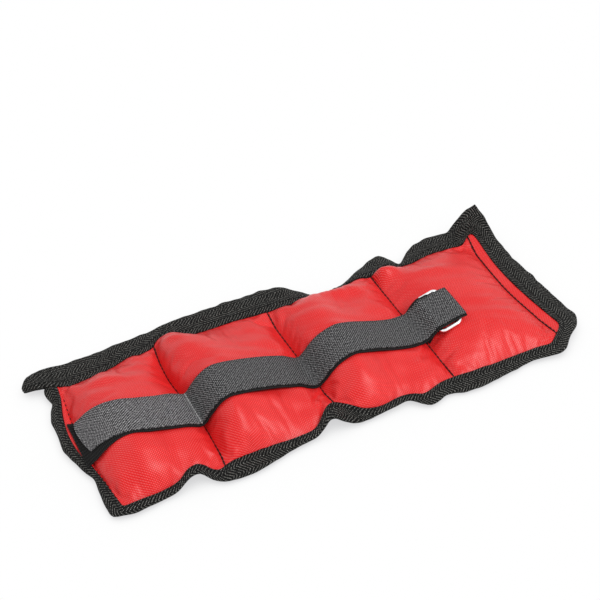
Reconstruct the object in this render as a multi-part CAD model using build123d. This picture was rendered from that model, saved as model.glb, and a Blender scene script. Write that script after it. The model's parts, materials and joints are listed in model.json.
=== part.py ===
from build123d import *
import os
from math import cos, hypot, radians, sin

# An ankle cuff weight lying flat with its strap side up. X runs along the cuff, Y across it, and
# Z up from the surface it lies on. The origin is under the middle of the whole outline.
# All sizes are in millimetres.

# Outline, from the left end to the right end
TAIL_REACH = 10.0                        # loose binding end, sticking out past the left end
LEFT_HEM = 10.0                          # left end to the left closing seam
POCKET_LENGTHS = (58.0, 70.0, 71.0, 71.0)
RIGHT_HEM = 20.0                         # right closing seam to the right end
CUFF_WIDTH = 120.0

# Pockets
POCKET_TOPS = (21.0, 22.5, 22.5, 18.5)   # height of each filled pocket's crown
POCKET_RUNS = (24.0, 26.0, 26.0, 31.0)   # how far each crown's slope reaches in from the seams
CROWN_ANGLES = (20.0, 40.0, 60.0, 80.0)
CROWN_POWER = 1.25                       # above 1, the slope starts flatter than an ellipse
POCKET_CORNER = 6.0
BASE_BEVEL = 3.6                         # the lining's edge rises to the hem over this inset
HINGE_Z = 4.0                            # seams, hems and fold lines all lie at this height
CLOTH = 0.8
SEAM_GAP = 1.0                           # pocket wall to the fold line, so that folds stay clear
BAG_CLOTH = 0.4
PACKING_GAP = 0.2                        # cover to inner bag
SAND_GAP = 0.05

# Bindings: tape folded over the raw edge
TAPE = 0.9
FAR_BINDING = 15.0
NEAR_BINDING = 10.0
RIGHT_BINDING = 16.0
LEFT_BINDING = 7.0
BINDING_GAP = 2.0                        # end of each length of binding to the fold line
BINDING_ROUND = 1.2
TAIL_WIDTH = 9.0
TAIL_Y = 52.0

# Strap and its sewn root
STRAP_WIDTH = 25.0
STRAP_Y = -12.5
STRAP_LAYER = 0.9                        # face tape and backing webbing are each this thick
STRAP_LIFT_OFF = 0.5                     # strap to cover
STRAP_END_GAP = 4.0                      # end of each strap length to the fold line
ROOT_LENGTH = 2.8
ROOT_THICKNESS = 1.2
LIFT_X_FROM_SEAM = -2.0                  # strap hinge, from the left closing seam
LIFT_Z = 8.5
STRAP_JOIN_ANGLE = 40.0                  # where the rising strap meets the first crown

# Ring and its tab
RING_LENGTH = 15.5
RING_WIDTH = 31.4
RING_Y = -11.2                            # it has slid a little along its tab
RING_WIRE = 2.2
RING_CORNER = 3.0
RING_FROM_SEAM = 6.0
RING_Z = 14.4                            # centre plane of the ring at its end by the seam
RING_SLOPE = 16.0                        # degrees
TAB_WIDTH = 21.0
TAB_CLOTH = 0.8
TAB_GAP = 0.3
TAB_FOOT_X = 3.2                         # from the fold line
TAB_FOOT_Z = 10.1
TAIL_START = 8.0                         # the strap's tail over the ring, from the fold line
TAIL_END = 25.0

# Stitching
STITCH_PITCH = 3.2
STITCH_LENGTH = 2.4
STITCH_WIDTH = 0.7
STITCH_HEIGHT = 0.3

# Places worked out from the sizes above
CUFF_LENGTH = LEFT_HEM + sum(POCKET_LENGTHS) + RIGHT_HEM
LEFT_END = (TAIL_REACH - CUFF_LENGTH) / 2
RIGHT_END = LEFT_END + CUFF_LENGTH
SEAMS = [LEFT_END + LEFT_HEM + sum(POCKET_LENGTHS[:k]) for k in range(5)]
NEAR_EDGE = -CUFF_WIDTH / 2
FAR_EDGE = CUFF_WIDTH / 2
HEM_LOW = HINGE_Z - CLOTH
HEM_HIGH = HINGE_Z + CLOTH
POCKET_NEAR = NEAR_EDGE + NEAR_BINDING
POCKET_FAR = FAR_EDGE - FAR_BINDING


def block(x0, x1, y0, y1, z0, z1):
    """A box given by its limits."""
    return Pos((x0 + x1) / 2, (y0 + y1) / 2, (z0 + z1) / 2) * Box(x1 - x0, y1 - y0, z1 - z0)


def crown_point(k, angle):
    """Inset from the pocket wall, and height, where pocket k's crown has this angle."""
    rise = POCKET_TOPS[k] - HEM_HIGH
    turn = radians(angle)
    return POCKET_RUNS[k] * (1 - cos(turn)), HEM_HIGH + rise * sin(turn) ** CROWN_POWER


def pocket_span(k):
    """The pocket's walls along X, just inside its two seams."""
    return SEAMS[k] + SEAM_GAP, SEAMS[k + 1] - SEAM_GAP


def pillow(k, shrink=0.0):
    """The closed body of pocket k, with every wall moved inwards by shrink."""
    x0, x1 = pocket_span(k)
    levels = [(shrink, BASE_BEVEL), (HEM_LOW, 0.0), (HEM_HIGH, 0.0)]
    for angle in CROWN_ANGLES:
        inset, height = crown_point(k, angle)
        levels.append((height - shrink * sin(radians(angle)), inset))
    middle = Pos((x0 + x1) / 2, (POCKET_NEAR + POCKET_FAR) / 2)
    sections = []
    for height, inset in levels:
        inset += shrink
        outline = RectangleRounded(x1 - x0 - 2 * inset, POCKET_FAR - POCKET_NEAR - 2 * inset,
                                   POCKET_CORNER)
        sections.append(Pos(0, 0, height) * middle * outline)
    return loft(sections, ruled=True)


def hem(z0, z1, x0=None, x1=None):
    """One layer of cloth out to the fold of the bindings, over the whole cuff or a stretch."""
    x0 = LEFT_END + TAPE if x0 is None else x0
    x1 = RIGHT_END - TAPE if x1 is None else x1
    return block(x0, x1, NEAR_EDGE + TAPE, FAR_EDGE - TAPE, z0, z1)


def panel_span(k):
    """Where panel k's own cloth starts and ends along X."""
    x0 = LEFT_END + TAPE if k == 0 else SEAMS[k] + SEAM_GAP
    x1 = RIGHT_END - TAPE if k == 3 else SEAMS[k + 1] - SEAM_GAP
    return x0, x1


def pocket_parts(k):
    """Cover, lining, inner bag and sand of pocket k."""
    x0, x1 = panel_span(k)
    outer, inner = pillow(k), pillow(k, CLOTH)
    above = block(x0, x1, NEAR_EDGE, FAR_EDGE, HINGE_Z, 2 * POCKET_TOPS[k])
    below = block(x0, x1, NEAR_EDGE, FAR_EDGE, -HINGE_Z, HINGE_Z)
    bag = CLOTH + PACKING_GAP
    return {
        f"cover_{k + 1}": (outer & above) + hem(HINGE_Z, HEM_HIGH, x0, x1) - inner,
        f"lining_{k + 1}": (outer & below) + hem(HEM_LOW, HINGE_Z, x0, x1) - inner,
        f"inner_bag_{k + 1}": pillow(k, bag) - pillow(k, bag + BAG_CLOTH),
        f"iron_sand_{k + 1}": pillow(k, bag + BAG_CLOTH + SAND_GAP),
    }


def binding(x0, x1, y0, y1, fold_axis, side):
    """Tape folded over the hem, rounded along its folded edge."""
    tape = block(x0, x1, y0, y1, HEM_LOW - TAPE, HEM_HIGH + TAPE)
    along = Axis.Y if fold_axis == Axis.X else Axis.X
    folded = tape.edges().filter_by(along).group_by(fold_axis)[side]
    return fillet(folded, BINDING_ROUND) - hem(HEM_LOW, HEM_HIGH)


def side_bindings():
    """A length of binding along the far and near edge of each panel."""
    parts = {}
    for k in range(4):
        x0 = LEFT_END + LEFT_BINDING if k == 0 else SEAMS[k] + BINDING_GAP
        x1 = RIGHT_END - RIGHT_BINDING if k == 3 else SEAMS[k + 1] - BINDING_GAP
        parts[f"binding_far_{k + 1}"] = binding(x0, x1, POCKET_FAR, FAR_EDGE, Axis.Y, -1)
        parts[f"binding_near_{k + 1}"] = binding(x0, x1, NEAR_EDGE, POCKET_NEAR, Axis.Y, 0)
    return parts


def end_bindings():
    """The bindings across both ends, and the loose tail at the far left corner."""
    tail = block(-CUFF_LENGTH / 2 - TAIL_REACH / 2, LEFT_END, TAIL_Y - TAIL_WIDTH / 2,
                 TAIL_Y + TAIL_WIDTH / 2, HEM_LOW - TAPE, HEM_HIGH + TAPE)
    tip = tail.edges().filter_by(Axis.Z).group_by(Axis.X)[0]
    return {
        "binding_left": binding(LEFT_END, LEFT_END + LEFT_BINDING, NEAR_EDGE, FAR_EDGE, Axis.X, 0),
        "binding_right": binding(RIGHT_END - RIGHT_BINDING, RIGHT_END, NEAR_EDGE, FAR_EDGE,
                                 Axis.X, -1),
        "binding_tail": fillet(tip, TAIL_WIDTH / 3),
    }


def stitch_row(x, z0, y0, y1, height=STITCH_HEIGHT):
    """A straight row of separate stitches along Y."""
    count = int((y1 - y0) // STITCH_PITCH)
    row = Sketch() + GridLocations(0, STITCH_PITCH, 1, count) * Rectangle(STITCH_WIDTH, STITCH_LENGTH)
    return extrude(Pos(x, (y0 + y1) / 2, z0) * row, height)


def stitching():
    """Fold-line rows lie on the fold axis, and closing rows lie on the cover."""
    parts = {}
    for name, x in zip("abc", SEAMS[1:4]):
        parts[f"fold_stitches_{name}"] = stitch_row(x, HINGE_Z - STITCH_WIDTH / 2, POCKET_NEAR,
                                                    POCKET_FAR, STITCH_WIDTH)
    strap_near, strap_far = STRAP_Y - STRAP_WIDTH / 2, STRAP_Y + STRAP_WIDTH / 2
    parts["closing_stitches_left"] = (stitch_row(SEAMS[0], HEM_HIGH, POCKET_NEAR, strap_near)
                                      + stitch_row(SEAMS[0], HEM_HIGH, strap_far, POCKET_FAR))
    parts["closing_stitches_right"] = stitch_row(SEAMS[4], HEM_HIGH, POCKET_NEAR, POCKET_FAR)
    parts["strap_root_stitches"] = stitch_row(SEAMS[0] - ROOT_LENGTH / 2, HEM_HIGH + ROOT_THICKNESS,
                                              strap_near, strap_far)
    return parts


def ribbon(points, low, high, width, y_middle=STRAP_Y):
    """Flat webbing: the band between two offsets of a line in XZ, extruded across Y."""
    def shifted(offset):
        moved = []
        for i, (x, z) in enumerate(points):
            (xa, za), (xb, zb) = points[max(i - 1, 0)], points[min(i + 1, len(points) - 1)]
            length = hypot(xb - xa, zb - za)
            moved.append((x - offset * (zb - za) / length, z + offset * (xb - xa) / length))
        return moved
    outline = shifted(low) + shifted(high)[::-1]
    face = make_face(Plane.XZ * Polyline(*outline, close=True))
    return Pos(0, y_middle) * extrude(face, width / 2, both=True)


def crown_line(k, angles=(0.0,) + CROWN_ANGLES):
    """The crown's outline along X, up from one seam and down to the next."""
    x0, x1 = pocket_span(k)
    rise = [crown_point(k, angle) for angle in angles]
    return [(x0 + inset, z) for inset, z in rise] + [(x1 - inset, z) for inset, z in rise[::-1]]


def strap_line(k):
    """The line that the strap's underside follows over pocket k, and its limits along X."""
    line = crown_line(k)
    x0, x1 = SEAMS[k] + STRAP_END_GAP, SEAMS[k + 1] - STRAP_END_GAP
    if k == 0:
        joined = [p for p, angle in zip(line, (0.0,) + CROWN_ANGLES) if angle >= STRAP_JOIN_ANGLE]
        x0 = SEAMS[0] + LIFT_X_FROM_SEAM
        hinge_side = (x0, LIFT_Z - STRAP_LIFT_OFF - STRAP_LAYER)
        line = [hinge_side] + joined + line[len(CROWN_ANGLES) + 1:]
    return line, x0, x1


def ring_height(from_seam):
    """Height of the ring's centre plane, at this distance from the last fold line."""
    slope = radians(RING_SLOPE)
    return RING_Z + (from_seam - RING_FROM_SEAM) * sin(slope) / cos(slope)


def strap():
    """The strap's four lengths in two layers each, and the root sewn to the closing seam."""
    parts = {}
    for k in range(4):
        if k < 3:
            line, x0, x1 = strap_line(k)
            low = STRAP_LIFT_OFF
        else:
            x0, x1 = SEAMS[3] + TAIL_START, SEAMS[3] + TAIL_END
            line = [(SEAMS[3] + x, ring_height(x)) for x in (TAIL_START - 3, TAIL_END + 3)]
            low = RING_WIRE / 2 + TAB_GAP + TAB_CLOTH + TAB_GAP
        limits = block(x0, x1, NEAR_EDGE, FAR_EDGE, 0, 2 * max(POCKET_TOPS))
        for name, start in (("strap_back", low), ("strap_face", low + STRAP_LAYER)):
            layer = ribbon(line, start, start + STRAP_LAYER, STRAP_WIDTH)
            parts[f"{name}_{k + 1}"] = layer & limits
    root_x = SEAMS[0] - ROOT_LENGTH / 2
    parts["strap_root"] = block(root_x - ROOT_LENGTH / 2, root_x + ROOT_LENGTH / 2,
                                STRAP_Y - STRAP_WIDTH / 2, STRAP_Y + STRAP_WIDTH / 2,
                                HEM_HIGH, HEM_HIGH + ROOT_THICKNESS)
    return parts


def ring_and_tab():
    """A wire ring lying on the last pocket's slope, and the webbing tab that holds it."""
    radius = RING_WIRE / 2
    middle = Pos(SEAMS[3] + RING_FROM_SEAM, RING_Y, RING_Z) * Rot(0, -RING_SLOPE, 0)
    path = RectangleRounded(RING_LENGTH - RING_WIRE, RING_WIDTH - RING_WIRE, RING_CORNER)
    path = (Pos(RING_LENGTH / 2, 0) * path).face().outer_wire()
    start = Plane(origin=path @ 0, z_dir=path % 0)
    ring = middle * sweep(start * Circle(radius), path=path)

    bar_x, bar_z = SEAMS[3] + RING_FROM_SEAM + radius, ring_height(RING_FROM_SEAM + radius)
    bar = Pos(bar_x, STRAP_Y, bar_z) * Rot(90, 0, 0)
    eye = bar * Cylinder(radius + TAB_GAP + TAB_CLOTH, TAB_WIDTH)
    foot = (SEAMS[3] + TAB_FOOT_X, TAB_FOOT_Z)
    web = ribbon([foot, (bar_x, bar_z)], -TAB_CLOTH, TAB_CLOTH, TAB_WIDTH)
    tab = eye + web - bar * Cylinder(radius + TAB_GAP, TAB_WIDTH)
    return {"ring": ring, "ring_tab": tab}


def all_parts():
    """Every sub-part, by node name."""
    parts = {}
    for k in range(4):
        parts.update(pocket_parts(k))
    parts.update(side_bindings())
    parts.update(end_bindings())
    parts.update(stitching())
    parts.update(strap())
    parts.update(ring_and_tab())
    return parts


os.makedirs("parts", exist_ok=True)
for node, solid in all_parts().items():
    export_step(solid, f"parts/{node}.step")
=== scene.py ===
import json
from math import ceil, cos, pi, radians, sin

import bpy
import numpy as np
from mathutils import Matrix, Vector, noise
from mathutils.bvhtree import BVHTree

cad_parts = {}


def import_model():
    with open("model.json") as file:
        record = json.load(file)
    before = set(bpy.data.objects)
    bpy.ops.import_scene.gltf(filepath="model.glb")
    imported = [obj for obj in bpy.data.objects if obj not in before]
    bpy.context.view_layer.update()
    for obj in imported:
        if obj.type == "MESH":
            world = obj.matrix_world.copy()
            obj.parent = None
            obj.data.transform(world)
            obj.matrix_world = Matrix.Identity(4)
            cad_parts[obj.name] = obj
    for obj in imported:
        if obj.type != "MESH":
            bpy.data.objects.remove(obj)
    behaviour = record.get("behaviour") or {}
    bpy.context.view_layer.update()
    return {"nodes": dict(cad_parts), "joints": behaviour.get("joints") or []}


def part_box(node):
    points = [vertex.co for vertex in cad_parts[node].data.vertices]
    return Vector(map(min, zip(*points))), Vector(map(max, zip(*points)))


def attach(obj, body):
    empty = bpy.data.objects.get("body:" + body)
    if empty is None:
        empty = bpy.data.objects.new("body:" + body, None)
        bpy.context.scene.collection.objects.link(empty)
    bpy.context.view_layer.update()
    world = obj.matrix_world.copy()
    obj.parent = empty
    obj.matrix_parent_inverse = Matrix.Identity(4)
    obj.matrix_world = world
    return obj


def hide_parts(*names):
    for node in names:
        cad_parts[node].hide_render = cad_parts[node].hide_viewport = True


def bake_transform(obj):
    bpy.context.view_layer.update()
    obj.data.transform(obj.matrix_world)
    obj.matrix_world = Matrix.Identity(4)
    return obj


# An ankle cuff weight. Lengths are in millimetres and become metres in add_mesh().
MM = 0.001
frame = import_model()
JOINTS = {j["name"]: j for j in frame["joints"]}


def box_mm(node):
    """Lowest and highest corner of a CAD node, in millimetres."""
    low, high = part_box(node)
    return np.array(low) / MM, np.array(high) / MM


def table(text, columns=3, dx=0.0, dy=0.0):
    """Rows of numbers, with the first two columns moved by dx and dy."""
    rows = np.array(text.split(), float).reshape(-1, columns)
    rows[:, :2] += (dx, dy)
    return rows


# ---- places, from the CAD
FOLDS = [JOINTS[name]["pos_m"][0] / MM for name in ("fold_a", "fold_b", "fold_c")]
HINGE_Z = JOINTS["fold_a"]["pos_m"][2] / MM
CLOSING = float(np.mean([b[0] for b in box_mm("closing_stitches_right")]))
LEFT, RIGHT = box_mm("binding_left")[0][0], box_mm("binding_right")[1][0]
NEAR, FAR = box_mm("binding_near_2")[0][1], box_mm("binding_far_2")[1][1]
STRAP_Y = float(np.mean([b[1] for b in box_mm("strap_face_2")]))

# The bound edges as they lie, wavy because the filled pockets pull them in: x, y and z, where
# y counts from the near or far edge of the cuff, and x from its left or right end on the ends.
NEAR_OUTER = table("""
    -137.5 5.5 2.4  -133 4 2.2  -115 4.8 2.2  -105 5.6 3.2  -97 8.4 7  -91 8.4 7.2  -86 5 3.6
    -83 2.3 2.4  -76 0.4 2.2  -62 -0.2 2.2  -50 2.2 2.2  -36 4.9 2.2  -23 6 3.4  -13 9.7 8.4
    -8 7.2 7.4  -3 5.7 3.2  6 4.6 2.4  14 5.2 2.4  24 5.8 2.8  34 6 3.2  38 2 2.6  43 -1.8 2.2
    50 -0.6 2.2  56 1 2.2  64 -1.4 2.2  74 -2.7 2.2  95 -0.8 2.2  112 1 2.2  122 -0.6 3
    131 -2.2 3.6  136.4 0.2 4.4  141 6 4.8  147 8.6 5.4
""", dy=NEAR)
NEAR_INNER = table("""
    -134.5 8.4 5  -124 8.6 5  -114 8.6 5  -102 10 6  -95 13.5 8.6  -90 13.8 8.4  -86.5 12 6
    -81 7.4 5  -76 9.4 5  -63 10.2 5  -50.5 10 5  -33 9.4 5  -22.7 10 6  -14 16.5 9.6  -9 19 9.4
    -1.5 16.5 8  6 11 5.6  16 8.6 5  29 9.5 5.4  36 8.4 5.4  42 5.5 5  54.4 8.4 5  64 8.5 5
    78 7.6 5  93 7 5  108 7 5  121 6.6 5  127.7 5.6 5  134.6 10.3 6  138.5 13 6.4
""", dy=NEAR)
FAR_OUTER = table("""
    -144.5 -1.2 5.2  -137 -1.2 4.6  -130 -1.2 4  -118 -1 3.5  -105 -0.5 3.5  -92 0 3.8  -76 0.2 5
    -56 0.4 7  -36 0.2 7.4  -15 0 7.5  -3 -0.4 7.4  8 -1.5 7  18 -8 4.4  26 -15 2.4  40 -15.5 2
    52 -10.5 2.2  60 -6 2.5  67 -3 2.5  73 -0.6 2.5  78.5 0.4 2.5  82 -2.5 2.5  83.4 -8 2.4
    84.4 -13.4 2.3  86.5 -13.2 2.3  91.5 -9.2 2.6  99.2 -3.4 3.2  104 -1.4 3.8  111.6 -0.7 4.6
    121 -2 5.4  127 -2.4 4.4  129.8 -3 4.4  130.6 -3 10  132.4 -3 14.4  137 -2.8 17.8
    142 -2.6 20.4
""", dy=FAR)
FAR_INNER = table("""
    -137 -17.6 5.2  -130 -20.5 4.8  -123.5 -19.6 4.4  -114 -19 4.4  -104 -17.2 4.4  -93 -14 4.4
    -86 -15.2 4.8  -78 -13.4 5.2  -75 -10.6 5.6  -67.5 -9.4 6  -55 -14.6 5.8  -42.5 -15.4 5.8
    -30 -15.6 6  -17.5 -16.8 6.2  -6.5 -17.6 6.2  0 -18.4 6.2  7 -18.6 6  15 -17.5 5.8  26 -18 5.5
    40 -18 5.5  50 -16.5 5.5  57 -15.4 5.2  64 -16.6 4.6  74 -16.2 4.6  84 -17 4.8  92 -17.6 4.8
    106 -15.8 5  119.5 -17 5.6  130 -17.6 6.4  134.5 -14 7.8  136 -13.6 8.4
""", dy=FAR)
LEFT_OUTER = table("""
    4.4 -55 2.4  3.4 -47.5 2.3  3.7 -37 2.3  4.2 -26 2.3  1.6 -20 2.3  -1.6 -8 2.3  -3.6 -1.5 2.3
    -2.8 8 2.3  -2.8 20 2.4  -2 24 2.4  0 29 2.5  2.2 33.5 2.6  0.9 37.5 2.8  0.4 42 3  2.6 47 3.4
    4.2 55 4
""", dx=LEFT)
LEFT_INNER = table("""
    11 -51 5  9.4 -41 5  8.2 -31 5  6 -18.7 5  3.4 -10 5  2.2 3 5  3 14 5  5 24 5  7.4 33 5
    8.4 42.5 5
""", dx=LEFT)
RIGHT_OUTER = table("""
    -4.6 -49.2 5.4  -2.9 -46.6 5.2  -0.9 -43.5 5  0.6 -38.6 4.8  -0.8 -34 4.6  -1.6 -27 4.6
    -2.2 -8 4.6  -3.6 12 4.8  -4.6 30 6.4  -4.8 40 9.5  -4.8 49 13.5  -5.4 53.5 17
""", dx=RIGHT)
RIGHT_INNER = table("""
    -14 -44.5 6  -15.2 -30 5  -16.8 -12 4.6  -17.6 4 4.6  -17.4 18 4.8  -16.2 32 5.6  -15.8 41 7.2
    -16.6 46 8.6
""", dx=RIGHT)
LEFT_CLOSING = table("""
    10.6 -51 4.8  8.2 -31 4.8  6.8 -18.7 4.6  6.5 -5 4.4  6.5 7 4.4  7 18 4.4  8 28 4.6  9.4 43.5 5
""", dx=LEFT)

# Strap's underside, as it lies over the pockets: x, z
STRAP_LINE = table("""
    -141.4 5.5  -140.2 5.5  -138.8 6  -136.4 8.2  -134 10.9  -131.2 14.6  -126.7 18.9  -123 21.2
    -119 22.5  -112 22.8  -104 20.2  -96 17.4  -88 14.9  -82 12.4  -78.5 11.6  -75.5 12.6  -72 16.4
    -68.5 20.6  -65 23.6  -61 24.9  -55 24.2  -45 21.8  -37 19.4  -28 16.2  -20 12.9  -14 8.6
    -10 6.4  -6.5 7.4  -3 10  0 14  4 18  9 20.6  15 22  22 20.4  31 17.2  40 13.6  47 11.2  54 9.6
    60 10.2  66 13.6  72 17.4  77 19.6  83 20.8  88 21.4
""", columns=2)
# Cover's height along the strap's line, pocket by pocket: x, z
CROWNS = [table(rows, columns=2) for rows in (
    "-138.5 4.4  -134.3 5  -131.5 7  -128.3 11  -125 15.5  -119 20.3  -111 17.9  -103 12  -95 8.5  "
    "-88 8.8  -82 7.5  -77 4.2",
    "-77 4.2  -74 10  -70 16.2  -66 20.3  -61 23.6  -55 18.9  -45 15.3  -37 12.4  -28 7.1  "
    "-20 4.6  -13 5  -7 4.2",
    "-7 4.2  -3.5 8.4  0 11.8  4 13  9 17.3  15 20.5  22 17.1  31 11.3  40 5.9  50 4.4  58 5  "
    "64 4.2",
    "64 4.2  67 6.8  71 10.9  76 11.4  82 12.3  90 14.8  100 15.1  110 12.3  120 9.7  128 6.5  "
    "135 4.8",
)]
# Ends of seams that crease the cloth: x, y from the near or far edge, reach, creases, turn
PUCKERS = table("""
    -136 10 9 7 0.4  -136 -18 12 7 1  -78 9 10 8 0  -76 -13 15 9 2  -8 18 13 8 0.7  -6 -18 14 9 1.6
    64 8 8 7 0.2  64 -16 10 8 2.4  134 10 14 8 0.9  134 -16 15 8 0.3
""", columns=5)
PUCKER_HEIGHT = 0.9
# Corners that stand up: pocket, x, y from the far edge, half widths along and across, height
EARS = table("""
    0 -133 -24 5 6 2.4  0 -85 -20 6 5 2.2  2 35 -23 16 7 4.8  1 -70 -16 6 7 1.4  2 -1 -22 4.5 5 3.4
    3 68 -21 10 6 7.5
""", columns=6)
# How far each seam bows towards +X, by its share of the way from the near end
SEAM_BOW = [table(rows, columns=2) for rows in (
    "0 0  0.12 1.2  0.3 1.6  0.45 0.2  0.6 -1.4  0.72 -2.4  0.85 -1.8  1 0",
    "0 0  0.2 0.6  0.5 0  0.8 -0.6  1 0",
    "0 0  0.3 0.4  0.6 -0.3  1 0",
    "0 0  0.2 -1.6  0.5 -3.8  0.8 -2.4  1 0",
)]

# The strap
STRAP_WIDTH = 25.0
STRAP_STEP = 1.4  # between its sections
LAYER = 0.9  # thickness of its face tape and of its backing
FACE_FROM = 2.9  # the face tape starts this far from the strap's end
ROOT_SHIFT = 10.6  # the strap is sewn on askew: its end is nearer the middle by this much
ROOT_SPREAD = 2.4  # how far its backing passes the far edge there
ASKEW_RUN = 46.0  # run over which the strap comes back to its line
STRAP_CLEAR = 0.3  # over the cloth
STRAP_CUT = -112  # where its first length ends

RING_WIRE = 2.2
MID_PANELS = [(FOLDS[0] + FOLDS[1]) / 2, (FOLDS[1] + FOLDS[2]) / 2]

LOWEST = 0.2  # of tape and hems, over the ground
LINING_Z = 0.35
ROWS = 60  # of the cover's mesh, across the cuff
COLUMN = 1.7  # width of its columns


# ---- small helpers
def norm(v):
    return np.linalg.norm(v, axis=-1)


def smooth(points, count=300, at=None):
    """A smooth curve through points: count points spaced evenly along it, or those at these x."""
    p = np.array(points, float)
    ends = np.vstack([2 * p[0] - p[1], p, 2 * p[-1] - p[-2]])
    gap = norm(np.diff(ends, axis=0)) ** 0.5
    knots = np.append(0, np.cumsum(gap))
    out = []
    for i in range(1, len(ends) - 2):
        t = np.linspace(knots[i], knots[i + 1], 17)[:-1, None]
        a = [((knots[k + 1] - t) * ends[k] + (t - knots[k]) * ends[k + 1])
             / (knots[k + 1] - knots[k]) for k in (i - 1, i, i + 1)]
        b = [((knots[k + 2] - t) * a[n] + (t - knots[k]) * a[n + 1]) / (knots[k + 2] - knots[k])
             for n, k in ((0, i - 1), (1, i))]
        out.append(((knots[i + 1] - t) * b[0] + (t - knots[i]) * b[1]) / (knots[i + 1] - knots[i]))
    line = np.vstack(out + [p[-1:]])
    return even(line, count) if at is None else read(at, line[:, 0], line)


def read(at, keys, rows):
    """The rows at these values of their keys, interpolated."""
    columns = rows.reshape(len(rows), -1).T
    values = np.stack([np.interp(at, keys, column) for column in columns], -1)
    return values.reshape(*np.shape(at), *rows.shape[1:])


def run_along(path):
    """Distance along a path to each of its stations, which are points or rows of points."""
    gap = norm(np.diff(path, axis=0)).reshape(len(path) - 1, -1).mean(1)
    return np.append(0, np.cumsum(gap))


def grid_run(grid, axis):
    """Distance over a grid of points from its first column (axis 0) or its first row (axis 1)."""
    gap = norm(np.diff(grid, axis=axis))
    return np.concatenate([0 * np.take(gap, [0], axis), np.cumsum(gap, axis)], axis)


def even(path, count):
    """The same path with its stations spaced evenly."""
    run = run_along(path)
    return read(np.linspace(0, run[-1], count), run, path)


def soften(path):
    """Moves each station halfway to the middle of its two neighbours."""
    path[1:-1] = 0.25 * path[:-2] + 0.5 * path[1:-1] + 0.25 * path[2:]
    return path


def between(a, b, share):
    """a where share is 0, b where it is 1, and a blend of them between."""
    return (1 - share) * a + share * b


def unit(v):
    return v / np.maximum(norm(v)[..., None], 1e-9)


def quads(ids):
    """Faces of a grid of vertex numbers."""
    return np.stack([ids[:-1, :-1], ids[1:, :-1], ids[1:, 1:], ids[:-1, 1:]], 2).reshape(-1, 4)


def ramp(x):
    """0 below 0, 1 above 1, and smooth between."""
    x = np.clip(x, 0, 1)
    return x * x * (3 - 2 * x)


def noise_at(*place):
    """Smooth noise at these coordinates, each a number or an array."""
    place = np.broadcast_arrays(*place)
    values = [noise.noise(Vector(p)) for p in zip(*(axis.ravel() for axis in place))]
    return np.reshape(values, place[0].shape)


def add_object(name, data, place=(0, 0, 0), look=None):
    """An object in the scene, at a place in metres and facing along look."""
    obj = bpy.data.objects.new(name, data)
    obj.location = place
    if look:
        obj.rotation_euler = look.to_track_quat("-Z", "Y").to_euler()
    bpy.context.scene.collection.objects.link(obj)
    return obj


def add_mesh(name, verts, faces, weave=None):
    """A smooth-shaded mesh object from millimetre coordinates. weave holds the cloth's own
    coordinates in millimetres, which its material reads."""
    mesh = bpy.data.meshes.new(name)
    mesh.from_pydata((np.asarray(verts) * MM).tolist(), [], [list(map(int, f)) for f in faces])
    mesh.polygons.foreach_set("use_smooth", [True] * len(mesh.polygons))
    mesh.update()
    obj = add_object(name, mesh)
    if weave is not None:
        weave = np.asarray(weave, np.float32)
        weave = np.pad(weave, ((0, 0), (0, 3 - weave.shape[1])))
        set_attribute(obj, "weave", "FLOAT_VECTOR", "POINT", weave)
    return obj


def set_attribute(obj, name, kind, domain, values):
    layer = obj.data.attributes.new(name, kind, domain)
    key = "vector" if kind == "FLOAT_VECTOR" else "value"
    layer.data.foreach_set(key, np.asarray(values).ravel())


def plate(name, low, high, z):
    """A flat square-cornered sheet between two corners."""
    (x0, y0), (x1, y1) = low[:2], high[:2]
    return add_mesh(name, [(x0, y0, z), (x1, y0, z), (x1, y1, z), (x0, y1, z)], [(0, 1, 2, 3)])


def fetch(items, key, width=3, kind=float):
    """One property of each item in a collection, as the rows of an array."""
    values = np.empty(len(items) * width, kind)
    items.foreach_get(key, values)
    return values.reshape(-1, width)


def modified(obj):
    """An object's mesh with its modifiers."""
    return obj.evaluated_get(bpy.context.evaluated_depsgraph_get()).to_mesh()


# ---- the edges
def under_tape(inner, outer):
    """The cloth's border, a little under the binding's inner edge."""
    return inner + unit(outer - inner) * 0.7


def seam_line(k, low, high):
    """Fold line or closing seam k from its near end to its far end."""
    t = np.linspace(0, 1, ROWS + 1)
    line = low + (high - low) * t[:, None]
    line[:, 0] += smooth(SEAM_BOW[k], at=t)[:, 1]
    sag = np.clip(np.minimum(t, 1 - t) / 0.16, 0, 1)
    line[:, 2] += (HINGE_Z - line[:, 2]) * sag
    return line


def closing_line():
    """Left closing seam, from its near end to its far end, with the binding beside it."""
    y = np.linspace(NEAR + 9, FAR - 16.2, ROWS + 1)
    rows = [smooth(points) for points in (LEFT_CLOSING, LEFT_INNER, LEFT_OUTER)]
    return [read(y, r[:, 1], r) for r in rows]


def pocket_border(k):
    """Near, far, left and right border of pocket k, each running up in x or y."""
    x0, x1 = [LEFT + 10, *FOLDS, CLOSING][k:k + 2]
    count = ceil((x1 - x0) / COLUMN) + 1
    x = np.linspace(x0, x1, 200)
    low, high = (even(under_tape(smooth(inner, at=x), smooth(outer, at=x)), count)
                 for inner, outer in ((NEAR_INNER, NEAR_OUTER), (FAR_INNER, FAR_OUTER)))
    if k:
        start = seam_line(k - 1, low[0], high[0])
    else:
        start = closing_line()[0]
        for line, corner in ((low, start[0]), (high, start[-1])):
            fade = np.clip(1 - np.arange(count)[:, None] / 6, 0, 1)
            line += (corner - line[0]) * fade
    return low, high, start, seam_line(k, low[-1], high[-1])


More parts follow.
